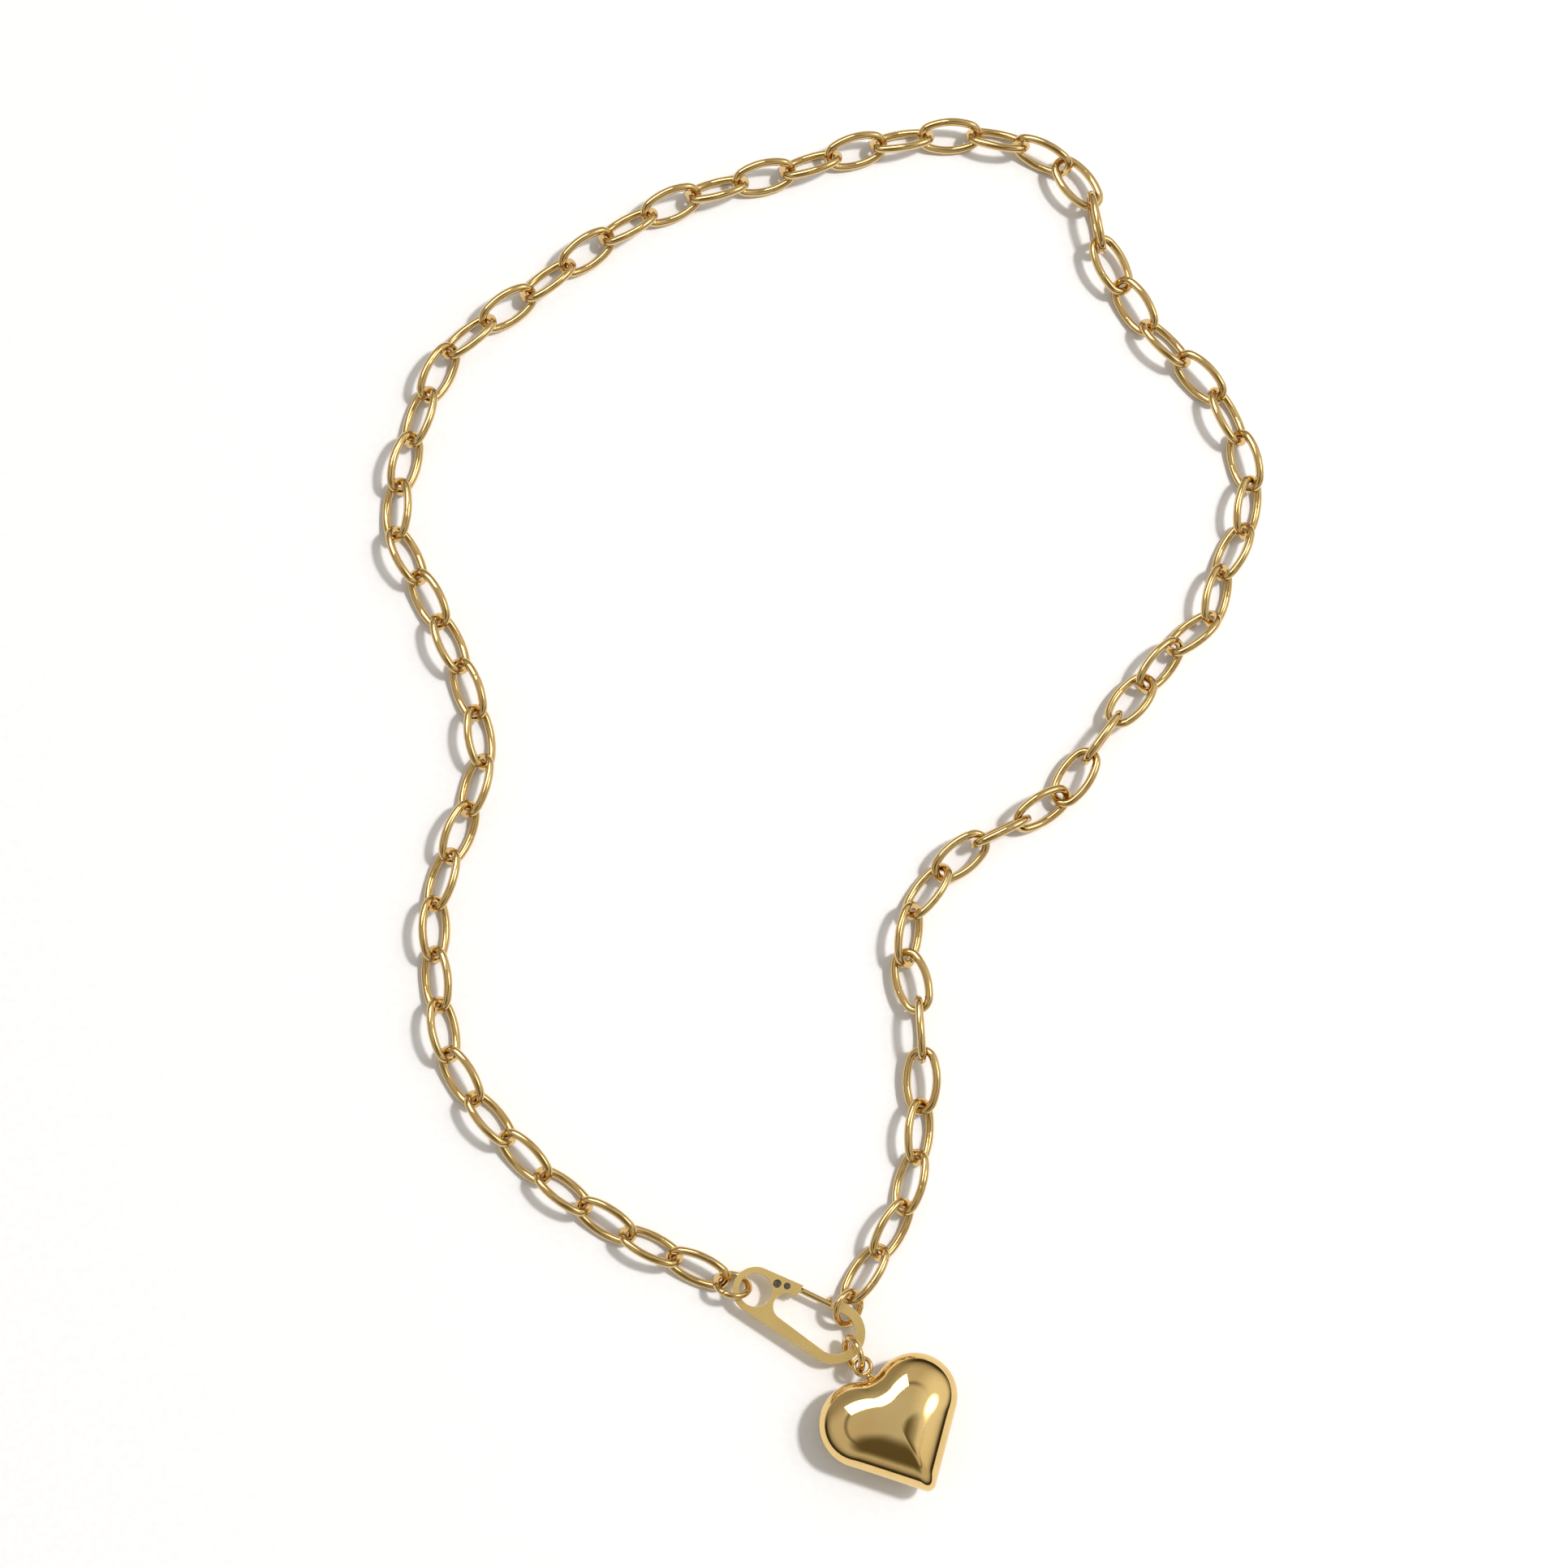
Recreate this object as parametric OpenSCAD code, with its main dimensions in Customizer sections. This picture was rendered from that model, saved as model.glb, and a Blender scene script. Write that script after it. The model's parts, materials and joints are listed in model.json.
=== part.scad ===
// Pendant necklace: an oval link cable chain, a flat carabiner clasp with a sprung gate,
// three jump rings and a hollow puffed heart. It lies flat on the plane z = 0, laid out as
// one loose loop, with the heart towards -Y and the back of the neck towards +Y.

/* [Chain] */
// Outer length of one oval link
link_length = 10.65; // [10.6:0.05:10.9]
// Outer width of one oval link
link_width = 6.25; // [5.8:0.05:6.6]
// Diameter of the link wire
link_wire = 1.3; // [1.1:0.05:1.3]
// Roll of each link about the chain, to one side and then the other
link_roll = 45; // [42:1:48]
// How much shorter a step of the chain is where it lies slack
slack = 0.35; // [0.2:0.05:0.5]

/* [Jump rings] */
// Radius of a jump ring to the middle of its wire
ring_r = 2.55; // [2.5:0.01:2.6]
// Diameter of the jump ring wire
ring_wire = 1.05; // [0.9:0.05:1.1]
// Width of the saw cut that closes a jump ring
saw_cut = 0.06; // [0.04:0.01:0.12]

/* [Clasp] */
// Radius of the clasp's outline at the eye
eye_end_r = 3.5; // [3.4:0.05:3.6]
// Radius of the clasp's outline at the nose
nose_end_r = 4.67; // [4.6:0.05:4.75]
// Distance between the centres of those two ends
clasp_span = 13.57; // [13.4:0.05:13.8]
// Thickness of the clasp's plate
plate_t = 1.4; // [1.3:0.05:1.4]
// Bore of the eye
eye_bore_r = 2.55; // [2.45:0.05:2.6]
// Diameter of the gate's rod
gate_d = 1; // [0.9:0.05:1]

/* [Heart] */
// Radius of each lobe
lobe_r = 6.4; // [6.2:0.05:6.6]
// Distance of each lobe's centre from the middle line
lobe_x = 4.63; // [4.5:0.05:4.8]
// Depth of the lobes' centres below the cleft
lobe_y = 5.37; // [5.2:0.05:5.5]
// Depth of the tip circle's centre below the cleft
tip_y = 17.6; // [17:0.1:18]
// Radius of the rounded tip
tip_r = 1.28; // [1:0.05:1.5]
// Thickness of the whole heart
heart_t = 9.5; // [8:0.1:9.5]
// Wall of the hollow heart
heart_wall = 0.5; // [0.4:0.05:0.8]

/* [Hidden] */
singles = [for (k = [1:18]) k, for (k = [53:64]) k];
first_of_pair = [for (k = [19:2:51]) k];
function two_digits(k) = str(k < 10 ? "0" : "", k);
function single_name(k) = str("chain_link_", two_digits(k));
function pair_name(k) = str("chain_links_", two_digits(k), "_", two_digits(k + 1));
$fn = 48;

gold = "#d9b265";
satin_gold = "#c9a55e";
dark_gold = "#8a6a35";

// ---- the chain's route ----

// The loop's middle line, from the eye ring round the back of the neck to the clasp ring
route = [
    [-16.1, -77.2], [-30.5, -70.5], [-43.5, -61.5], [-54, -50], [-58, -43.5], [-59.5, -36], [-60.5, -20],
    [-55.5, -5], [-53.5, 2], [-54.5, 10], [-60.5, 25], [-67.5, 38.5], [-67.5, 46], [-65.5, 54],
    [-60, 68.5], [-47.5, 78.5], [-35.5, 88], [-22, 95.5], [-6.5, 100], [8.5, 105], [24, 107],
    [37, 103], [43, 96], [44.5, 88.5], [52, 75], [63, 63.5], [68, 49], [66.5, 41.5], [63, 34.5],
    [61, 27], [55, 22], [46, 11], [41.5, 5], [38, -1], [31.5, -5.5], [24.5, -9], [18.5, -13.5],
    [13.5, -20], [12, -27], [14, -34], [14.5, -50], [12, -65.5], [3.5, -79.6]
];
// Links that lie slack, just after a bend
slack_links = [32, 36, 37, 38, 39, 48, 49, 50, 52, 53, 54, 55, 57, 58];
// Extra roll along the chain, as [link, degrees]: it stands a few links on edge
twist = [[1, 0], [35, 0], [38, 50], [40, 0], [49, 0], [51, -43], [53, 0], [54, 34], [56, 0], [57, -5],
    [59, -40], [61, 0], [64, 0]];
links = 64;
route_steps = 24;

last = len(route) - 1;
function route_point(i) = i < 0 ? 2 * route[0] - route[1]
    : i > last ? 2 * route[last] - route[last - 1] : route[i];
// A Catmull-Rom curve through the route's points
function curve(i, t) =
    let (a = route_point(i - 1), b = route[i], c = route_point(i + 1), d = route_point(i + 2))
    0.5 * (2 * b + (c - a) * t + (2 * a - 5 * b + 4 * c - d) * t * t + (3 * b - 3 * c + d - a) * t * t * t);
line = concat([for (i = [0:last - 1], s = [0:route_steps - 1]) curve(i, s / route_steps)], [route[last]]);
line_last = len(line) - 1;
function line_gap(i) = i < line_last ? norm(line[i + 1] - line[i]) : 0;
line_s = [for (i = 0, s = 0; i <= line_last; s = s + line_gap(i), i = i + 1) s];
function is_slack(k) = len(search(k, slack_links)) > 0 ? 1 : 0;
step = (line_s[line_last] + slack * len(slack_links)) / links;
joint_s = [for (k = 0, s = 0; k <= links; k = k + 1, s = s + step - slack * is_slack(k)) s];
// The point at distance s along the line, found between lo and hi by halving
function at_s(s, lo = 0, hi = line_last) = hi - lo <= 1
    ? line[lo] + (line[hi] - line[lo]) * (s - line_s[lo]) / (line_s[hi] - line_s[lo])
    : let (mid = floor((lo + hi) / 2)) line_s[mid] > s ? at_s(s, lo, mid) : at_s(s, mid, hi);

// Roll of link k: neighbours lie to opposite sides
function roll(k) = (k % 2 == 0 ? link_roll : -link_roll) + lookup(k, twist);
half_width = (link_width - link_wire) / 2;
half_length = (link_length - link_wire) / 2;
// Height that keeps link k just clear of the surface it lies on
function lift(k) = half_width * abs(sin(roll(k))) + link_wire / 2 + 0.02;
function joint_z(k) = max(k > 0 ? lift(k) : 0, k < links ? lift(k + 1) : 0);
joints = [for (k = [0:links]) let (p = at_s(joint_s[k])) [p[0], p[1], joint_z(k)]];

// ---- pieces of round wire ----

// An arc of round wire about Z, from angle a0 to a1
module wire_arc(r, a0, a1, d) {
    rotate([0, 0, a0]) rotate_extrude(angle = a1 - a0) translate([r, 0]) circle(d = d);
}

// A jump ring in the XY plane, with its saw cut at angle cut
module jump_ring(cut) {
    half_cut = saw_cut / ring_r * 90 / PI;
    color(gold) wire_arc(ring_r, cut + half_cut, cut + 360 - half_cut, ring_wire);
}

// Places a ring at centre: heading of its long axis, tilt of its other axis, rise of the long axis
module ring_pose(centre, heading, tilt, rise) {
    translate(centre) rotate([0, 0, heading]) rotate([0, -rise, 0]) rotate([tilt, 0, 0]) children();
}

// One oval link along X: round ends and slightly bowed sides. The end arcs are a hair thinner
// than the side arcs and run a little way into them, as a drawn and soldered link does
end_r = 0.8 * half_width;
side_r = (pow(half_length - end_r, 2) + pow(half_width, 2) - pow(end_r, 2)) / (2 * (half_width - end_r));
side_a = atan2(side_r - half_width, half_length - end_r);
end_overlap = 2;
end_thinning = 0.02;
module oval_link() {
    color(gold) for (turn = [0, 180]) rotate([0, 0, turn]) {
        translate([half_length - end_r, 0])
            wire_arc(end_r, -side_a - end_overlap, side_a + end_overlap, link_wire - end_thinning);
        translate([0, half_width - side_r]) wire_arc(side_r, side_a, 180 - side_a, link_wire);
    }
}

// Link k in its place between joints k-1 and k
module chain_link(k) {
    span = joints[k] - joints[k - 1];
    translate((joints[k] + joints[k - 1]) / 2)
        rotate([0, 0, atan2(span[1], span[0])])
            rotate([0, -atan2(span[2], norm([span[0], span[1]])), 0])
                rotate([roll(k), 0, 0]) oval_link();
}

// ---- clasp ----
// The clasp's own axes start at the middle of the eye, with +X towards the nose

clasp_at = [-10.95, -78.87, 2.45];
clasp_heading = -28.3;
slot_eye_x = 5.3;
slot_eye_r = 2.03;
slot_nose_r = nose_end_r - 1.48;
anchor_at = [2.43, 2.36];
hinge_at = [3.9, 2.75];
latch_at = [11.95, 3.25];
anchor_r = 0.63;
hinge_r = 0.5;
latch_r = 0.25;
pocket_t = 0.74;
pin_half = 0.5;
fit = 0.03;

module clasp_pose() {
    translate(clasp_at) rotate([0, 0, clasp_heading]) children();
}

// Plate of thickness t with the outline of two circles and their outer tangents
module two_circle_plate(r_a, r_b, span, t) {
    sin_b = (r_a - r_b) / span;
    n = [sin_b, sqrt(1 - sin_b * sin_b)];
    m = [sin_b, -n[1]];
    inset = 0.01;
    translate([0, 0, -t / 2]) {
        cylinder(r = r_a, h = t);
        translate([span, 0, 0]) cylinder(r = r_b, h = t);
        linear_extrude(t) polygon([(r_a - inset) * n, [span, 0] + (r_b - inset) * n,
            [span, 0] + (r_b - inset) * m, (r_a - inset) * m]);
    }
}

module disc(at, r, t) {
    translate([at[0], at[1], -t / 2]) cylinder(r = r, h = t);
}

module slab(points, t) {
    translate([0, 0, -t / 2]) linear_extrude(t) polygon(points);
}

// Flat carabiner body: the eye, the long slot, the gate opening, the clevis that holds the gate's
// root, and the notched nose that the latch pin drops into
module clasp_frame() {
    through = plate_t + 1;
    clasp_pose() color(satin_gold) difference() {
        two_circle_plate(eye_end_r, nose_end_r, clasp_span, plate_t);
        disc([0, 0], eye_bore_r, through);
        translate([slot_eye_x, 0, 0])
            two_circle_plate(slot_eye_r, slot_nose_r, clasp_span - slot_eye_x, through);
        // gate opening between the tongue and the nose
        slab([[5.75, 1], [11.35, 1], [11.35, 6], [6.3, 6]], through);
        // clevis pocket, open to the slot and to the outside
        slab([[1.75, 1.65], [4.6, 1.1], [6.5, 1.1], [6.5, 6], [3.2, 6], [1.75, 3.05]], pocket_t);
        // nose slot for the gate's tang, and the notch for the latch pin
        slab([[11.2, 1.5], [12.5, 1.5], [12.5, 3.75], [11.2, 3.75]], 0.66);
        disc(latch_at, latch_r + 0.1, through);
        slab([[latch_at[0] - 0.35, 1.5], [latch_at[0] + 0.35, 1.5], [latch_at[0] + 0.35, latch_at[1]],
            [latch_at[0] - 0.35, latch_at[1]]], through);
        disc(anchor_at, anchor_r + 0.01, through);
        disc(hinge_at, hinge_r + 0.01, through);
    }
}

rod_from = [6.3, 3.29, 0];
rod_to = [11.15, 3.5, 0];
// The gate: a flat root round the hinge pin, a round rod, a thumb bead and a flat tang at the tip
module gate_arm() {
    span = rod_to - rod_from;
    clasp_pose() color(gold) difference() {
        union() {
            disc(hinge_at, 0.85, 0.66);
            slab([[3.75, 3.5], [3.9, 2], [5.2, 2.62], [6.5, 2.9], [6.5, 3.68], [5.2, 3.62]], 0.66);
            translate(rod_from) rotate([0, 0, atan2(span[1], span[0])]) rotate([0, 90, 0])
                cylinder(d = gate_d, h = norm(span));
            translate([10.55, 4.05, 0]) sphere(0.42);
            slab([[10.9, 3.12], [12.1, 2.95], [12.25, 3.3], [12.1, 3.6], [10.9, 3.75]], 0.56);
        }
        disc(hinge_at, hinge_r + fit, 2);
        disc(latch_at, latch_r, 2);
    }
}

module gate_hinge_pin() {
    clasp_pose() color(dark_gold) disc(hinge_at, hinge_r, 2 * pin_half);
}

// Anchor pin: a head at each end and a waist that the spring curls round
module spring_anchor_pin() {
    clasp_pose() color(dark_gold) {
        disc(anchor_at, 0.36, 2 * pin_half);
        for (side = [-1, 1]) translate([anchor_at[0], anchor_at[1], side * (pin_half - 0.06)])
            cylinder(r = anchor_r, h = 0.12, center = true);
    }
}

// Leaf spring: a curl round the anchor pin and a blade that bears on the gate's round heel
module gate_spring() {
    clasp_pose() color(gold) union() {
        difference() {
            disc(anchor_at, 0.54, 0.5);
            disc(anchor_at, 0.39, 1);
        }
        slab([[2.35, 1.83], [3.3, 1.86], [3.32, 1.99], [2.35, 1.96]], 0.5);
    }
}

module gate_latch_pin() {
    clasp_pose() color(gold) disc(latch_at, latch_r - 0.01, 1.3);
}

// ---- jump rings ----

module eye_jump_ring() {
    ring_pose([-14.5, -78.09, 2.5], 172.2, 47, 6.3) jump_ring(60);
}

module clasp_jump_ring() {
    ring_pose([3.13, -81.51, 2.45], 64.3, 47, 2.8) jump_ring(300);
}

module pendant_jump_ring() {
    ring_pose([3.86, -88.49, 3.27], -62.4, 70.6, 24.5) jump_ring(150);
}

// ---- heart ----
// The heart's own axes start at the bail's centre, with +Y away from the tip

bail_at = [5.08, -90.37, 4.44];
heart_heading = 28.4;
heart_rise = 2;
bail_r = 1.27;
bail_wire = 0.7;
cleft_at = [0.3, -2.2];
// Point that the heart's rings shrink towards, below the cleft
crown_y = -8;
outline_steps = 72;
outer_rings = 14;
inner_rings = 6;

module heart_pose() {
    translate(bail_at) rotate([0, 0, heart_heading]) rotate([-heart_rise, 0, 0]) children();
}

// Fillet between the lobes, tangent to both
cleft_r = (pow(lobe_y, 2) + pow(lobe_x, 2) - pow(lobe_r, 2)) / (2 * (lobe_r - lobe_y));
cleft_a = atan2(lobe_y + cleft_r, lobe_x);
// The straight side touches the lobe and the tip circle, at this angle below the X axis
side_angle = 90 - atan2(tip_y - lobe_y, lobe_x) + asin((lobe_r - tip_r) / norm([lobe_x, tip_y - lobe_y]));
side_in = -side_angle;
// Right half of the outline by fraction f of its length: fillet, lobe, side, tip
lobe_from = 180 - cleft_a;
len_cleft = cleft_r * (90 - cleft_a) * PI / 180;
len_lobe = lobe_r * (lobe_from - side_in) * PI / 180;
side_a_pt = [lobe_x, -lobe_y] + lobe_r * [cos(side_in), sin(side_in)];
side_b_pt = [0, -tip_y] + tip_r * [cos(side_in), sin(side_in)];
len_side = norm(side_b_pt - side_a_pt);
len_tip = tip_r * (side_in + 90) * PI / 180;
half_len = len_cleft + len_lobe + len_side + len_tip;
function half_outline(f) = let (s = f * half_len)
    s < len_cleft ? let (a = -90 + s / cleft_r * 180 / PI) [0, cleft_r] + cleft_r * [cos(a), sin(a)]
    : s < len_cleft + len_lobe ? let (a = lobe_from - (s - len_cleft) / lobe_r * 180 / PI)
        [lobe_x, -lobe_y] + lobe_r * [cos(a), sin(a)]
    : s < len_cleft + len_lobe + len_side
        ? side_a_pt + (side_b_pt - side_a_pt) * (s - len_cleft - len_lobe) / len_side
    : let (a = side_in - (s - len_cleft - len_lobe - len_side) / tip_r * 180 / PI)
        [0, -tip_y] + tip_r * [cos(a), sin(a)];
function outline(i) = let (f = i / outline_steps * 2)
    f <= 1 ? half_outline(f) : let (p = half_outline(2 - f)) [-p[0], p[1]];
heart_line = [for (i = [0:outline_steps - 1]) outline(i)];

// Puffed surface: ring j of n is the outline shrunk towards the crown and raised. grow and
// height set the outer skin or the inner one
function puff_ring(j, n, shrink, height) = let (t = 90 * j / n, r = shrink * pow(cos(t), 0.95),
    z = height * pow(sin(t), 0.95))
    [for (p = heart_line) [p[0] * r, crown_y + (p[1] - crown_y) * r, z]];
// One half of the hollow heart, from the seam plane up
module heart_half() {
    n = outline_steps;
    shrink = 1 - heart_wall / (lobe_y + 2.63);
    outer = [for (j = [0:outer_rings - 1]) each puff_ring(j, outer_rings, 1, heart_t / 2)];
    inner_height = heart_t / 2 - heart_wall;
    inner = [for (j = [0:inner_rings - 1]) each puff_ring(j, inner_rings, shrink, inner_height)];
    points = concat(outer, [[0, crown_y, heart_t / 2]], inner, [[0, crown_y, inner_height]]);
    top = outer_rings * n;
    in0 = top + 1;
    in_top = in0 + inner_rings * n;
    faces = concat(
        [for (j = [0:outer_rings - 2], i = [0:n - 1], half = [0, 1])
            let (a = j * n, b = a + n, k = (i + 1) % n)
            half == 0 ? [a + i, b + i, b + k] : [a + i, b + k, a + k]],
        [for (i = [0:n - 1]) let (a = (outer_rings - 1) * n) [a + i, top, a + (i + 1) % n]],
        [for (j = [0:inner_rings - 2], i = [0:n - 1], half = [0, 1])
            let (a = in0 + j * n, b = a + n, k = (i + 1) % n)
            half == 0 ? [a + i, b + k, b + i] : [a + i, a + k, b + k]],
        [for (i = [0:n - 1]) let (a = in0 + (inner_rings - 1) * n) [a + i, a + (i + 1) % n, in_top]],
        [for (i = [0:n - 1], half = [0, 1]) let (k = (i + 1) % n)
            half == 0 ? [i, k, in0 + k] : [i, in0 + k, in0 + i]]
    );
    translate([cleft_at[0], cleft_at[1], 0]) polyhedron(points, faces, convexity = 4);
}

module heart_front_shell() {
    heart_pose() color(gold) translate([0, 0, 0.01]) heart_half();
}

module heart_back_shell() {
    heart_pose() color(gold) mirror([0, 0, 1]) translate([0, 0, 0.01]) heart_half();
}

module heart_bail_loop() {
    heart_pose() color(gold) rotate_extrude() translate([bail_r, 0]) circle(d = bail_wire);
}

// Short flared stem between the loop and the cleft
module heart_bail_post() {
    heart_pose() color(gold) translate([0.15, 0, 0]) rotate([90, 0, 0]) rotate_extrude()
        polygon([[0, 1.5], [0.42, 1.5], [0.5, 1.8], [0.8, 2.1], [0.8, 2.27], [0, 2.27]]);
}

clasp_frame();
gate_arm();
gate_hinge_pin();
spring_anchor_pin();
gate_spring();
gate_latch_pin();
eye_jump_ring();
clasp_jump_ring();
pendant_jump_ring();
heart_front_shell();
heart_back_shell();
heart_bail_loop();
heart_bail_post();
for (k = singles) chain_link(k);
for (k = first_of_pair) union() {
    chain_link(k);
    chain_link(k + 1);
}
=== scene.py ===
"""Looks of the pendant necklace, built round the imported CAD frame: gold finishes for every node,
smooth links, rings and heart in place of the faceted ones, then the floor, lights and camera.
Numbers for the chain, rings, clasp and heart are in millimetres, and MM turns them into metres.
The floor, lights and camera are in metres."""
import json
import math
import random

import bmesh
import bpy
from mathutils import Matrix, Vector


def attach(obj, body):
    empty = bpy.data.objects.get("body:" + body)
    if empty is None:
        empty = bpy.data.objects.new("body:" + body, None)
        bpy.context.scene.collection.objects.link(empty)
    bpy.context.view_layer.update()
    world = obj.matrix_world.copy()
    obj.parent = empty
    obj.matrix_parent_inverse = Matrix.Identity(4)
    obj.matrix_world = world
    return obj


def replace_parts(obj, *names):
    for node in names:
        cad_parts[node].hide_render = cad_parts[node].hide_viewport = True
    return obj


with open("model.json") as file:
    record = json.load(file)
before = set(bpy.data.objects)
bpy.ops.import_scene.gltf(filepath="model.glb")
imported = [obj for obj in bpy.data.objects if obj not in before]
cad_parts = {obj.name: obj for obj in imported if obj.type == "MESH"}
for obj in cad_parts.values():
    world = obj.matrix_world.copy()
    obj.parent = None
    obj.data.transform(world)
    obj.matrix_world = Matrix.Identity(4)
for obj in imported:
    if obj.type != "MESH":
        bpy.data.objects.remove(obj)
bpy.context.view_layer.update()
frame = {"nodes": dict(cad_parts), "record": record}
scene = bpy.context.scene
MM = 0.001


# ---- materials ----

def node_material(name):
    """A new material, its node tree and its Principled shader."""
    material = bpy.data.materials.new(name)
    material.use_nodes = True
    tree = material.node_tree
    shader = next(n for n in tree.nodes if n.type == "BSDF_PRINCIPLED")
    return material, tree, shader


def add_node(tree, kind, **inputs):
    """A node of that kind with the given input values (underscores stand for spaces)."""
    node = tree.nodes.new(kind)
    for key, value in inputs.items():
        node.inputs[key.replace("_", " ")].default_value = value
    return node


def ramp(tree, source, stops):
    """A colour ramp fed by source, with stops as (position, grey or colour)."""
    node = tree.nodes.new("ShaderNodeValToRGB")
    tree.links.new(source, node.inputs["Fac"])
    elements = node.color_ramp.elements
    while len(elements) < len(stops):
        elements.new(0.5)
    for element, (position, colour) in zip(elements, stops):
        element.position = position
        if not isinstance(colour, tuple):
            colour = (colour, colour, colour)
        element.color = (*colour, 1.0)
    return node.outputs["Color"]


def mix_colour(tree, factor, a, b, blend="MIX"):
    """Mixes colours a and b, each a socket or a colour."""
    node = tree.nodes.new("ShaderNodeMix")
    node.data_type = "RGBA"
    node.blend_type = blend
    if isinstance(factor, float):
        node.inputs[0].default_value = factor
    else:
        tree.links.new(factor, node.inputs[0])
    for index, value in ((6, a), (7, b)):
        if isinstance(value, tuple):
            node.inputs[index].default_value = (*value, 1.0)
        else:
            tree.links.new(value, node.inputs[index])
    return node.outputs[2]


def math_node(tree, operation, a, b):
    """A maths node on a and b, each a socket or a number."""
    node = tree.nodes.new("ShaderNodeMath")
    node.operation = operation
    for index, value in ((0, a), (1, b)):
        if isinstance(value, (int, float)):
            node.inputs[index].default_value = value
        else:
            tree.links.new(value, node.inputs[index])
    return node.outputs[0]


# Noise scales of the metals, in cycles per metre
PATCH_SCALE = 140.0
RUB_SCALE = 420.0
FINE_SCALE = 2600.0
SCUFF_SCALE = 900.0
BRUSH_SCALE = 5200.0
WIRE_MARK_SCALE = 3600.0
DUST_SCALE = 2100.0
DUST_PATCH_SCALE = 160.0
RIPPLE_SCALE = 90.0
PIN_GRAIN_SCALE = 4200.0

DEEPER = (0.93, 0.88, 0.80)
PALER = (1.05, 1.07, 1.12)
DUST_COLOUR = (0.90, 0.84, 0.68)
DUST_ROUGHNESS = (0.55, 0.55, 0.55)
GRAIN_DEPTH = 0.04 * MM
RIPPLE_DEPTH = 0.3 * MM
BRUSH_ANGLE = math.radians(28)


def gold(name, colour, roughness, drawn=0.0, brushed=0.0, dust=0.0, wear=0.5, ripple=0.0):
    """Gold-plated metal. colour is its base; roughness its mean gloss. drawn adds the faint
    lengthwise marks of drawn wire, brushed the grain of a satin face, dust fine pale specks,
    wear the paler rubbed patches, ripple a slow unevenness of a pressed skin."""
    material, tree, shader = node_material(name)
    links = tree.links
    place = tree.nodes.new("ShaderNodeTexCoord").outputs["Object"]

    def noise(scale, detail=2.0, stretch=None):
        node = add_node(tree, "ShaderNodeTexNoise", Scale=scale, Detail=detail)
        source = place
        if stretch:
            mapping = tree.nodes.new("ShaderNodeMapping")
            mapping.inputs["Scale"].default_value = stretch[0]
            mapping.inputs["Rotation"].default_value = (0, 0, stretch[1])
            links.new(place, mapping.inputs["Vector"])
            source = mapping.outputs["Vector"]
        links.new(source, node.inputs["Vector"])
        return node.outputs["Fac"]

    patches = noise(PATCH_SCALE)
    fine = noise(FINE_SCALE, 3.0)
    deep = tuple(c * k for c, k in zip(colour, DEEPER))
    pale = tuple(min(1.0, c * k) for c, k in zip(colour, PALER))
    tone = mix_colour(tree, ramp(tree, patches, [(0.35, 0.0), (0.68, 1.0)]), deep, colour)
    rub = ramp(tree, noise(RUB_SCALE, 3.0), [(0.52, 0.0), (0.72, wear)])
    tone = mix_colour(tree, rub, tone, pale)
    spread = 0.15 if brushed else 0.5
    smoothest, roughest = roughness * (1 - spread / 2), roughness * (1 + spread)
    gloss = ramp(tree, fine, [(0.3, smoothest), (0.75, roughest)])
    streaks = noise(SCUFF_SCALE, 4.0, ((1.0, 7.0, 1.0), 0.6))
    scuffs = ramp(tree, streaks, [(0.60, 0.0), (0.70, 0.2 * wear)])
    gloss = mix_colour(tree, 1.0, gloss, scuffs, "ADD")
    height = math_node(tree, "MULTIPLY", fine, 0.15)
    if brushed:
        grain = noise(BRUSH_SCALE, 2.0, ((0.06, 1.0, 1.0), BRUSH_ANGLE))
        scratches = ramp(tree, grain, [(0.3, 0.0), (0.8, 0.16 * brushed)])
        gloss = mix_colour(tree, 1.0, gloss, scratches, "ADD")
        height = math_node(tree, "ADD", height, math_node(tree, "MULTIPLY", grain, 1.2 * brushed))
    if drawn:
        marks = noise(WIRE_MARK_SCALE, 2.0, ((1.0, 1.0, 0.25), 0.9))
        height = math_node(tree, "ADD", height, math_node(tree, "MULTIPLY", marks, drawn))
    if dust:
        cells = add_node(tree, "ShaderNodeTexVoronoi", Scale=DUST_SCALE)
        links.new(place, cells.inputs["Vector"])
        where = ramp(tree, noise(DUST_PATCH_SCALE), [(0.50, 0.0), (0.66, 1.0)])
        speck = ramp(tree, cells.outputs["Distance"], [(0.07, 1.0), (0.13, 0.0)])
        speck = math_node(tree, "MULTIPLY", math_node(tree, "MULTIPLY", speck, where), dust)
        tone = mix_colour(tree, speck, tone, DUST_COLOUR)
        gloss = mix_colour(tree, speck, gloss, DUST_ROUGHNESS)
    links.new(tone, shader.inputs["Base Color"])
    links.new(gloss, shader.inputs["Roughness"])
    shader.inputs["Metallic"].default_value = 1.0
    bump = add_node(tree, "ShaderNodeBump", Strength=0.05, Distance=GRAIN_DEPTH)
    links.new(height, bump.inputs["Height"])
    last_normal = bump.outputs["Normal"]
    if ripple:
        slow = add_node(tree, "ShaderNodeBump", Strength=ripple, Distance=RIPPLE_DEPTH)
        links.new(noise(RIPPLE_SCALE), slow.inputs["Height"])
        links.new(last_normal, slow.inputs["Normal"])
        last_normal = slow.outputs["Normal"]
    links.new(last_normal, shader.inputs["Normal"])
    return material


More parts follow.
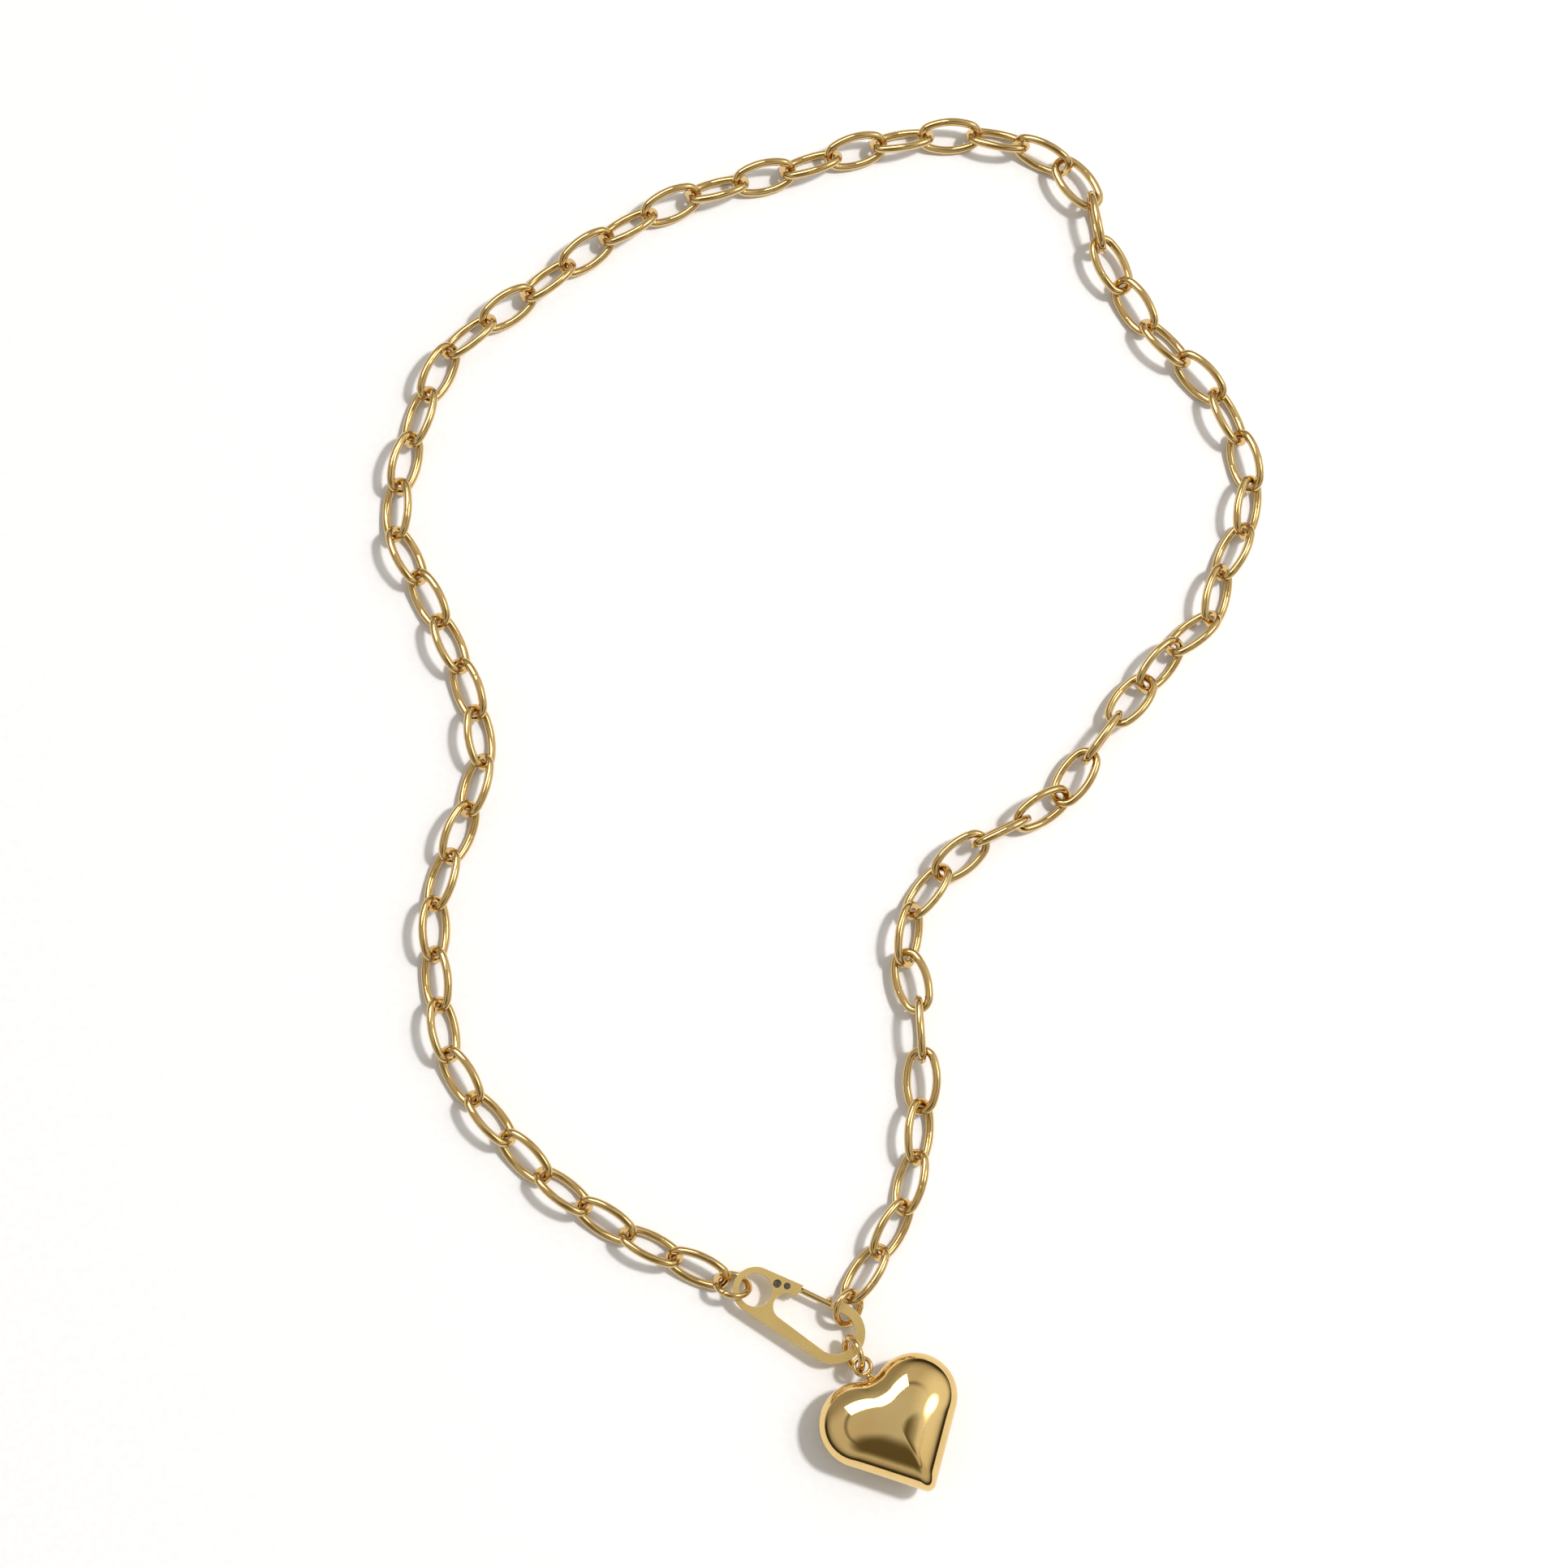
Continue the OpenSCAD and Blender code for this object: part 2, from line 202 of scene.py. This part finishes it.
def painted_shade_pin(name):
    """Recessed pin head: dull, brown-grey, grainy, its dark tone painted shade of the recess."""
    material, tree, shader = node_material(name)
    place = tree.nodes.new("ShaderNodeTexCoord").outputs["Object"]
    noise = add_node(tree, "ShaderNodeTexNoise", Scale=PIN_GRAIN_SCALE, Detail=4.0)
    tree.links.new(place, noise.inputs["Vector"])
    grain = noise.outputs["Fac"]
    # Very dark browns: painted shade inside the pin's recess
    tone = ramp(tree, grain, [
        (0.35, (0.055, 0.042, 0.030)), (0.62, (0.19, 0.155, 0.11)), (0.75, (0.36, 0.30, 0.22))])
    tree.links.new(tone, shader.inputs["Base Color"])
    tree.links.new(ramp(tree, grain, [(0.3, 0.42), (0.7, 0.7)]), shader.inputs["Roughness"])
    shader.inputs["Metallic"].default_value = 0.85
    bump = add_node(tree, "ShaderNodeBump", Strength=0.5, Distance=GRAIN_DEPTH)
    tree.links.new(grain, bump.inputs["Height"])
    tree.links.new(bump.outputs["Normal"], shader.inputs["Normal"])
    return material


wire_gold = gold("wire_gold", (0.70, 0.50, 0.22), 0.06, drawn=0.5)
ring_gold = gold("ring_gold", (0.71, 0.51, 0.23), 0.08, drawn=0.6, wear=0.7)
plate_gold = gold("plate_gold", (0.96, 0.73, 0.31), 0.28, brushed=0.15, wear=0.1)
# Paler gold for the rolled edges: a painted highlight
painted_highlight_edge_gold = gold("painted_highlight_edge_gold", (1.0, 0.84, 0.54), 0.34, wear=0.4)
gate_gold = gold("gate_gold", (0.76, 0.56, 0.26), 0.09, drawn=0.4)
heart_gold = gold("heart_gold", (0.82, 0.60, 0.26), 0.035, dust=0.8, wear=0.3, ripple=0.02)
# Pin heads darkened as painted shade of their recesses
pin_metal = painted_shade_pin("pin_metal")

BY_NODE = {
    "clasp_frame": plate_gold, "gate_arm": gate_gold, "gate_latch_pin": gate_gold,
    "gate_spring": gate_gold, "gate_hinge_pin": pin_metal, "spring_anchor_pin": pin_metal,
}
bodies = frame["record"]["behaviour"]["bodies"]
body_of_node = {node: body for body, nodes in bodies.items() for node in nodes}
for name, obj in frame["nodes"].items():
    obj.data.materials.clear()
    obj.data.materials.append(BY_NODE.get(name, wire_gold))


# ---- building meshes ----

def mesh_object(name, points, faces, material, body):
    """A mesh piece that rides on a body and takes its finish from a slot."""
    mesh = bpy.data.meshes.new(name)
    mesh.from_pydata([tuple(p) for p in points], [], faces)
    mesh.validate()
    mesh.materials.append(material)
    obj = bpy.data.objects.new(name, mesh)
    scene.collection.objects.link(obj)
    for polygon in mesh.polygons:
        polygon.use_smooth = True
    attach(obj, body)
    return obj


WELD = 0.025 * MM
FLAT_WITHIN = math.radians(1.5)
SHARP_FROM = math.radians(32)


def softened_copy(node, name, edge_width):
    """A copy of a CAD node with its sharp edges rolled over and given a paler gold as a painted
    highlight, in place of the node.
    """
    source = frame["nodes"][node].data
    mesh = bpy.data.meshes.new(name)
    mesh.from_pydata([vertex.co.copy() for vertex in source.vertices], [],
                     [tuple(polygon.vertices) for polygon in source.polygons])
    shape = bmesh.new()
    shape.from_mesh(mesh)
    bmesh.ops.remove_doubles(shape, verts=shape.verts, dist=WELD)
    bmesh.ops.dissolve_limit(shape, angle_limit=FLAT_WITHIN, verts=shape.verts, edges=shape.edges)
    for face in shape.faces:
        face.smooth = True
    shape.to_mesh(mesh)
    shape.free()
    mesh.materials.append(BY_NODE[node])
    # The second finish, on the rolled edges, is a paler gold that paints a highlight there
    mesh.materials.append(painted_highlight_edge_gold)
    obj = bpy.data.objects.new(name, mesh)
    scene.collection.objects.link(obj)
    bevel = obj.modifiers.new("rolled_edges", "BEVEL")
    bevel.width = edge_width
    bevel.segments = 3
    bevel.limit_method = "ANGLE"
    bevel.angle_limit = SHARP_FROM
    bevel.material = 1
    bevel.harden_normals = True
    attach(obj, body_of_node[node])
    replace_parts(obj, node)


softened_copy("clasp_frame", "clasp_frame_polished", 0.20 * MM)
softened_copy("gate_arm", "gate_arm_polished", 0.06 * MM)


# ---- round wire: links and rings ----

WIRE_SIDES = 20


def tube(path, radii, closed, sides=WIRE_SIDES):
    """Points and faces of a round wire along a path, with flat ends if it is open."""
    count = len(path)
    points, faces = [], []
    normal = None
    for i, centre in enumerate(path):
        ahead = path[(i + 1) % count] if closed or i < count - 1 else path[i]
        behind = path[i - 1] if closed or i else path[i]
        tangent = (ahead - behind).normalized()
        if normal is None:
            normal = tangent.orthogonal().normalized()
        normal = (normal - tangent * normal.dot(tangent)).normalized()
        across = tangent.cross(normal)
        for j in range(sides):
            angle = 2 * math.pi * j / sides
            points.append(centre + (normal * math.cos(angle) + across * math.sin(angle)) * radii[i])
    for i in range(count if closed else count - 1):
        a, b = i * sides, ((i + 1) % count) * sides
        for j in range(sides):
            k = (j + 1) % sides
            faces.append((a + j, a + k, b + k, b + j))
    if not closed:
        faces.append(tuple(range(sides))[::-1])
        faces.append(tuple((count - 1) * sides + j for j in range(sides)))
    return points, faces


# The chain's layout, in millimetres, as the CAD has it
ROUTE = [
    (-16.1, -77.2), (-30.5, -70.5), (-43.5, -61.5), (-54, -50), (-58, -43.5), (-59.5, -36),
    (-60.5, -20), (-55.5, -5), (-53.5, 2), (-54.5, 10), (-60.5, 25), (-67.5, 38.5),
    (-67.5, 46), (-65.5, 54),
    (-60, 68.5), (-47.5, 78.5), (-35.5, 88), (-22, 95.5), (-6.5, 100), (8.5, 105), (24, 107),
    (37, 103), (43, 96), (44.5, 88.5), (52, 75), (63, 63.5), (68, 49), (66.5, 41.5), (63, 34.5),
    (61, 27), (55, 22), (46, 11), (41.5, 5), (38, -1), (31.5, -5.5), (24.5, -9), (18.5, -13.5),
    (13.5, -20), (12, -27), (14, -34), (14.5, -50), (12, -65.5), (3.5, -79.6)]
SLACK_LINKS = (32, 36, 37, 38, 39, 48, 49, 50, 52, 53, 54, 55, 57, 58)
# Extra roll of some links: (link, degrees), straight in between
TWIST = ((1, 0), (35, 0), (38, 50), (40, 0), (49, 0), (51, -43), (53, 0), (54, 34), (56, 0), (57, -5),
         (59, -40), (61, 0), (64, 0))
LINKS = 64
LINK_LENGTH, LINK_WIDTH, LINK_WIRE = 10.65, 6.25, 1.3
LINK_ROLL = 45
SLACK = 0.35
ROUTE_STEPS = 24
LIFT_GAP = 0.02
HALF_WIDTH = (LINK_WIDTH - LINK_WIRE) / 2
HALF_LENGTH = (LINK_LENGTH - LINK_WIRE) / 2


def route_line():
    """The route as a fine Catmull-Rom line."""
    nodes = [Vector(p) for p in ROUTE]
    nodes = [2 * nodes[0] - nodes[1]] + nodes + [2 * nodes[-1] - nodes[-2]]
    line = []
    for a, b, c, d in zip(nodes, nodes[1:], nodes[2:], nodes[3:]):
        for i in range(ROUTE_STEPS):
            t = i / ROUTE_STEPS
            line.append(0.5 * (2 * b + (c - a) * t + (2 * a - 5 * b + 4 * c - d) * t * t
                               + (3 * b - 3 * c + d - a) * t ** 3))
    line.append(nodes[-2])
    return line


def twist_at(k):
    """Extra roll of link k, in degrees."""
    for (k0, v0), (k1, v1) in zip(TWIST, TWIST[1:]):
        if k0 <= k <= k1:
            return v0 + (v1 - v0) * (k - k0) / (k1 - k0)
    return 0


def roll_of(k):
    """Roll of link k about its long axis, in degrees; neighbours lean to opposite sides."""
    return (LINK_ROLL if k % 2 == 0 else -LINK_ROLL) + twist_at(k)


def lift_of(k):
    """Height of link k's middle line above the floor, in millimetres."""
    return HALF_WIDTH * abs(math.sin(math.radians(roll_of(k)))) + LINK_WIRE / 2 + LIFT_GAP


def chain_joints():
    """The points where neighbouring links meet, in millimetres."""
    line = route_line()
    along = [0.0]
    for a, b in zip(line, line[1:]):
        along.append(along[-1] + (b - a).length)
    step = (along[-1] + SLACK * len(SLACK_LINKS)) / LINKS
    joints, wanted, i = [], 0.0, 0
    for k in range(LINKS + 1):
        if k:
            wanted += step - (SLACK if k in SLACK_LINKS else 0)
        while i < len(along) - 2 and along[i + 1] < wanted:
            i += 1
        f = (wanted - along[i]) / (along[i + 1] - along[i])
        spot = line[i].lerp(line[i + 1], min(f, 1.0))
        height = max(lift_of(k) if k else 0, lift_of(k + 1) if k < LINKS else 0)
        joints.append(Vector((spot.x, spot.y, height)))
    return joints


END_R = 0.8 * HALF_WIDTH
SIDE_R = ((HALF_LENGTH - END_R) ** 2 + HALF_WIDTH ** 2 - END_R ** 2) / (2 * (HALF_WIDTH - END_R))
SIDE_ANGLE = math.degrees(math.atan2(SIDE_R - HALF_WIDTH, HALF_LENGTH - END_R))
END_THINNING = 0.01
END_STEPS, SIDE_STEPS = 34, 26
HALF_STEPS = END_STEPS + SIDE_STEPS
MID_SIDE = END_STEPS + SIDE_STEPS // 2
SEAM_WANDER = 4
SEAM_DEPTH = 0.025
UNEVENNESS = 0.004


def oval_path():
    """The middle line of a link in its own axes, and the wire's radius along it."""
    half = []
    for cx, cy, r, start, end, count, thin in (
            (HALF_LENGTH - END_R, 0, END_R, -SIDE_ANGLE, SIDE_ANGLE, END_STEPS, END_THINNING),
            (0, HALF_WIDTH - SIDE_R, SIDE_R, SIDE_ANGLE, 180 - SIDE_ANGLE, SIDE_STEPS, 0.0)):
        half += [(x, y, LINK_WIRE / 2 - thin) for x, y in arc_points(cx, cy, r, start, end, count)]
    return half + [(-x, -y, r) for x, y, r in half]


def arc_points(cx, cy, r, start, end, count):
    """count points along an arc from start to end, in degrees. The end point is left out, because
    the next arc or line starts there."""
    angles = [math.radians(start + (end - start) * i / count) for i in range(count)]
    return [(cx + r * math.cos(angle), cy + r * math.sin(angle)) for angle in angles]


def link_shape(k, joints, draw):
    """Points and faces of link k, with its soldered seam on one long side."""
    start, end = joints[k - 1], joints[k]
    ahead = (end - start).normalized()
    left = Vector((0, 0, 1)).cross(ahead).normalized()
    above = ahead.cross(left)
    roll = math.radians(roll_of(k))
    across = left * math.cos(roll) + above * math.sin(roll)
    oval = oval_path()
    seam = MID_SIDE + draw.choice((0, HALF_STEPS)) + draw.randint(-SEAM_WANDER, SEAM_WANDER)
    path, radii = [], []
    for i, (x, y, r) in enumerate(oval):
        path.append(((start + end) / 2 + ahead * x + across * y) * MM)
        gap = (i - seam) % len(oval)
        groove = SEAM_DEPTH if gap == 0 else 0.25 * SEAM_DEPTH if gap in (1, len(oval) - 1) else 0
        radii.append((r - groove - UNEVENNESS * draw.random()) * MM)
    return tube(path, radii, True)


JOINTS = chain_joints()
SEED = 7
draw = random.Random(SEED)
chain_nodes = [name for name in frame["nodes"] if name.startswith("chain_link")]
for name in sorted(chain_nodes):
    numbers = [int(part) for part in name.split("_") if part.isdigit()]
    points, faces = [], []
    for k in numbers:
        more, rings = link_shape(k, JOINTS, draw)
        faces += [tuple(i + len(points) for i in face) for face in rings]
        points += more
    piece = mesh_object(name.replace("chain", "soldered"), points, faces, wire_gold,
                        body_of_node[name])
    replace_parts(piece, name)


RING_R, RING_WIRE = 2.55, 1.05
SAW_CUT = 0.06
RING_STEPS = 96
# How much thinner the wire's end and the step before it are, where the cut is rounded off
CUT_ROUNDING = (0.03, 0.006)


def ring_shape(centre, heading, tilt, rise, cut):
    """Points and faces of a jump ring, open by its saw cut at the angle cut."""
    pose = (Matrix.Translation(Vector(centre) * MM) @ Matrix.Rotation(math.radians(heading), 4, "Z")
            @ Matrix.Rotation(math.radians(-rise), 4, "Y") @ Matrix.Rotation(math.radians(tilt), 4, "X"))
    half_cut = math.degrees(SAW_CUT / RING_R / 2)
    path, radii = [], []
    for i in range(RING_STEPS + 1):
        angle = math.radians(cut + half_cut + (360 - 2 * half_cut) * i / RING_STEPS)
        path.append(pose @ (Vector((RING_R * math.cos(angle), RING_R * math.sin(angle), 0)) * MM))
        from_end = min(i, RING_STEPS - i)
        rounding = CUT_ROUNDING[from_end] if from_end < len(CUT_ROUNDING) else 0.0
        radii.append((RING_WIRE / 2 - rounding) * MM)
    return tube(path, radii, False)


for name, centre, heading, tilt, rise, cut, body in (
        ("eye_jump_ring", (-14.5, -78.09, 2.5), 172.2, 47, 6.3, 60, "eye_ring"),
        ("clasp_jump_ring", (3.13, -81.51, 2.45), 64.3, 47, 2.8, 300, "clasp_ring"),
        ("pendant_jump_ring", (3.86, -88.49, 3.27), -62.4, 70.6, 24.5, 150, "pendant_ring")):
    points, faces = ring_shape(centre, heading, tilt, rise, cut)
    piece = mesh_object(name.replace("jump", "sawn"), points, faces, ring_gold, body)
    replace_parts(piece, name)


# ---- heart: a smooth puffed skin in place of the two faceted shells ----

HEART_BAIL = Vector((5.08, -90.37, 4.44)) * MM
HEART_HEADING = math.radians(28.4)
HEART_RISE = math.radians(-2.0)
CLEFT = (0.3, -2.2)
CROWN_Y = -8.0
HALF_THICK = 4.75
LOBE_R, LOBE_X, LOBE_Y = 6.4, 4.63, 5.37
TIP_Y, TIP_R = 17.6, 1.28
CLEFT_STEPS, LOBE_STEPS, STRAIGHT_STEPS, TIP_STEPS = 10, 54, 24, 14
SEAM_GAP = 0.012
SOFT_REACH = 9
SOFT_SWEEPS = 3
SKIN_RINGS = 64
# Powers that shape the puff: near 1 is an ellipse, lower is fuller
RING_SPACING = 0.94
FULLNESS = 0.95
SOFTENING = 0.8
heart_matrix = (Matrix.Translation(HEART_BAIL) @ Matrix.Rotation(HEART_HEADING, 4, "Z")
                @ Matrix.Rotation(HEART_RISE, 4, "X"))


def heart_outline():
    """Closed outline, clockwise from the cleft: fillet, lobe, straight side, tip, and its mirror."""
    cleft_r = (LOBE_Y ** 2 + LOBE_X ** 2 - LOBE_R ** 2) / (2 * (LOBE_R - LOBE_Y))
    cleft_a = math.degrees(math.atan2(LOBE_Y + cleft_r, LOBE_X))
    drop = TIP_Y - LOBE_Y
    side = -(90 - math.degrees(math.atan2(drop, LOBE_X))
             + math.degrees(math.asin((LOBE_R - TIP_R) / math.hypot(LOBE_X, drop))))
    right = arc_points(0, cleft_r, cleft_r, -90, -cleft_a, CLEFT_STEPS)
    right += arc_points(LOBE_X, -LOBE_Y, LOBE_R, 180 - cleft_a, side, LOBE_STEPS)
    c, s = math.cos(math.radians(side)), math.sin(math.radians(side))
    a = (LOBE_X + LOBE_R * c, -LOBE_Y + LOBE_R * s)
    b = (TIP_R * c, -TIP_Y + TIP_R * s)
    right += [(a[0] + (b[0] - a[0]) * i / STRAIGHT_STEPS, a[1] + (b[1] - a[1]) * i / STRAIGHT_STEPS)
              for i in range(STRAIGHT_STEPS)]
    right += arc_points(0, -TIP_Y, TIP_R, side, -90, TIP_STEPS)
    left = [(-x, y) for x, y in right[:0:-1]]
    return right + [(0.0, -TIP_Y - TIP_R)] + left


def averaged(line, i, reach):
    """The mean of a closed line's points within reach of point i."""
    near = [line[(i + k) % len(line)] for k in range(-reach, reach + 1)]
    return sum(p[0] for p in near) / len(near), sum(p[1] for p in near) / len(near)


def heart_skin(name, side):
    """One half of the puffed heart, rolled from the seam to the crown; side is 1 for the front."""
    outline = heart_outline()
    count = len(outline)
    soft = outline
    for sweep in range(SOFT_SWEEPS):
        soft = [averaged(soft, i, SOFT_REACH) for i in range(count)]
    points = []
    for j in range(SKIN_RINGS):
        t = math.radians(90 * (j / SKIN_RINGS) ** RING_SPACING)
        shrink = math.cos(t) ** FULLNESS
        lift = SEAM_GAP + (HALF_THICK - SEAM_GAP) * math.sin(t) ** FULLNESS
        ease = (1 - shrink) ** SOFTENING
        for (x0, y0), (x1, y1) in zip(outline, soft):
            x, y = x0 + (x1 - x0) * ease, y0 + (y1 - y0) * ease
            local = Vector((CLEFT[0] + x * shrink, CLEFT[1] + CROWN_Y + (y - CROWN_Y) * shrink,
                            side * lift))
            points.append(heart_matrix @ (local * MM))
    points.append(heart_matrix @ (Vector((CLEFT[0], CLEFT[1] + CROWN_Y, side * HALF_THICK)) * MM))
    top = len(points) - 1
    faces = []
    for j in range(SKIN_RINGS - 1):
        for i in range(count):
            k = (i + 1) % count
            quad = (j * count + i, j * count + k, (j + 1) * count + k, (j + 1) * count + i)
            faces.append(quad if side < 0 else quad[::-1])
    for i in range(count):
        k = (i + 1) % count
        tri = ((SKIN_RINGS - 1) * count + i, (SKIN_RINGS - 1) * count + k, top)
        faces.append(tri if side < 0 else tri[::-1])
    return mesh_object(name, points, faces, heart_gold, "heart")


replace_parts(heart_skin("heart_front_skin", 1), "heart_front_shell")
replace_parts(heart_skin("heart_back_skin", -1), "heart_back_shell")

BAIL_R, BAIL_WIRE = 1.27, 0.7
BAIL_STEPS = 72
circle = arc_points(0, 0, BAIL_R, 0, 360, BAIL_STEPS)
bail_path = [heart_matrix @ (Vector((x, y, 0)) * MM) for x, y in circle]
points, faces = tube(bail_path, [BAIL_WIRE / 2 * MM] * BAIL_STEPS, True)
bail = mesh_object("heart_bail_ring", points, faces, ring_gold, "heart")
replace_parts(bail, "heart_bail_loop")

# Radius and distance below the bail's centre of the soldered stem, from the loop to the cleft
STEM = ((0.30, 1.50), (0.38, 1.56), (0.40, 1.66), (0.44, 1.78), (0.52, 1.90), (0.63, 2.00),
        (0.74, 2.08), (0.79, 2.16), (0.80, 2.26))
STEM_X = 0.15
STEM_SIDES = 40
stem_path = [heart_matrix @ (Vector((STEM_X, -drop, 0)) * MM) for r, drop in STEM]
points, faces = tube(stem_path, [r * MM for r, drop in STEM], False, STEM_SIDES)
stem = mesh_object("heart_bail_stem", points, faces, ring_gold, "heart")
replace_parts(stem, "heart_bail_post")


# ---- floor, light, camera ----

FLOOR_REACH = 3.0
FLOOR_GRAIN_SCALE = 900.0
FLOOR_TONES = [(0.3, (0.90, 0.905, 0.94)), (0.7, (0.93, 0.935, 0.97))]
floor_material, floor_tree, floor_shader = node_material("floor_white")
grain = add_node(floor_tree, "ShaderNodeTexNoise", Scale=FLOOR_GRAIN_SCALE, Detail=3.0)
floor_place = floor_tree.nodes.new("ShaderNodeTexCoord").outputs["Object"]
floor_tree.links.new(floor_place, grain.inputs["Vector"])
floor_tone = ramp(floor_tree, grain.outputs["Fac"], FLOOR_TONES)
floor_tree.links.new(floor_tone, floor_shader.inputs["Base Color"])
floor_shader.inputs["Roughness"].default_value = 0.9
floor_shader.inputs["Specular IOR Level"].default_value = 0.1
floor_mesh = bpy.data.meshes.new("floor")
corners = [(x * FLOOR_REACH, y * FLOOR_REACH, 0) for x, y in ((-1, -1), (1, -1), (1, 1), (-1, 1))]
floor_mesh.from_pydata(corners, [], [(0, 1, 2, 3)])
floor_mesh.materials.append(floor_material)
floor = bpy.data.objects.new("floor", floor_mesh)
scene.collection.objects.link(floor)

WORLD_STRENGTH = 1.05
world = bpy.data.worlds.new("studio")
scene.world = world
world.use_nodes = True
sky = world.node_tree
background = next(n for n in sky.nodes if n.type == "BACKGROUND")
direction = sky.nodes.new("ShaderNodeTexCoord").outputs["Generated"]
split = sky.nodes.new("ShaderNodeSeparateXYZ")
sky.links.new(direction, split.inputs[0])


def toward(azimuth, elevation, near, far):
    """1 inside near degrees of a direction, falling to 0 at far degrees."""
    a, e = math.radians(azimuth), math.radians(elevation)
    dot = sky.nodes.new("ShaderNodeVectorMath")
    dot.operation = "DOT_PRODUCT"
    dot.inputs[1].default_value = (math.cos(a) * math.cos(e), math.sin(a) * math.cos(e), math.sin(e))
    sky.links.new(direction, dot.inputs[0])
    span = sky.nodes.new("ShaderNodeMapRange")
    span.interpolation_type = "SMOOTHSTEP"
    span.inputs["From Min"].default_value = math.cos(math.radians(far))
    span.inputs["From Max"].default_value = math.cos(math.radians(near))
    sky.links.new(dot.outputs["Value"], span.inputs["Value"])
    return span.outputs["Result"]


# The studio's tone by the sine of the elevation: dark low down, pale above, with one thin dark ring
STUDIO_TONES = [
    (0.0, (0.04, 0.032, 0.02)), (0.17, (0.05, 0.042, 0.03)), (0.34, (0.42, 0.40, 0.37)),
    (0.50, (0.60, 0.58, 0.54)), (0.75, (0.62, 0.60, 0.56)), (0.79, (0.22, 0.20, 0.17)),
    (0.83, (0.60, 0.58, 0.54)), (1.0, (0.58, 0.565, 0.53))]
# Patches in the studio: azimuth, elevation, inner and outer reach in degrees, and tone
PATCHES = (
    (130, 4, 15, 50, (0.34, 0.32, 0.28)),
    (-108, 56, 10, 28, (0.12, 0.10, 0.055)),
    (-12, 73, 7, 14, (0.14, 0.12, 0.07)),
    (20, 38, 6, 40, (0.95, 0.93, 0.88)),
    (14, 50, 2, 12, (5.0, 4.9, 4.6)))
studio = ramp(sky, split.outputs["Z"], STUDIO_TONES)
for azimuth, elevation, near, far, tone in PATCHES:
    studio = mix_colour(sky, toward(azimuth, elevation, near, far), studio, tone)
sky.links.new(studio, background.inputs["Color"])
background.inputs["Strength"].default_value = WORLD_STRENGTH


def area_light(name, at, target, size, power, colour):
    """A rectangular soft box at a place, aimed at a target; power in watts."""
    data = bpy.data.lights.new(name, "AREA")
    data.shape = "RECTANGLE"
    data.size, data.size_y = size
    data.energy = power
    data.color = colour
    obj = bpy.data.objects.new(name, data)
    scene.collection.objects.link(obj)
    obj.location = at
    obj.rotation_euler = (Vector(target) - Vector(at)).to_track_quat("-Z", "Y").to_euler()
    return obj


WARM_WHITE, WHITE = (1.0, 0.98, 0.95), (1.0, 1.0, 1.0)
# The key lights and casts shadows but isn't reflected, and the strip is only reflected
key = area_light("key", (1.00, 0.26, 1.76), (0, 0, 0), (0.20, 0.20), 27.0, WARM_WHITE)
key.visible_glossy = False
strip = area_light("strip", (-0.21, 0.32, 0.57), (0.0, -0.09, 0), (0.52, 0.24), 1.7, WHITE)
strip.visible_diffuse = False

# The camera's aim, its place and its field of view in degrees
TARGET = Vector((-0.0065, 0.0, 0.0))
CAMERA_AT = Vector((-0.0388, -0.1205, 0.5869))
FIELD_OF_VIEW = 23.1
camera_data = bpy.data.cameras.new("camera")
camera_data.angle = math.radians(FIELD_OF_VIEW)
camera = bpy.data.objects.new("camera", camera_data)
scene.collection.objects.link(camera)
view = (TARGET - CAMERA_AT).normalized()
side = view.cross(Vector((0, 1, 0))).normalized()
up = side.cross(view)
camera.matrix_world = Matrix((
    (side.x, up.x, -view.x, CAMERA_AT.x), (side.y, up.y, -view.y, CAMERA_AT.y),
    (side.z, up.z, -view.z, CAMERA_AT.z), (0, 0, 0, 1)))
scene.camera = camera
scene.view_settings.view_transform = "Standard"
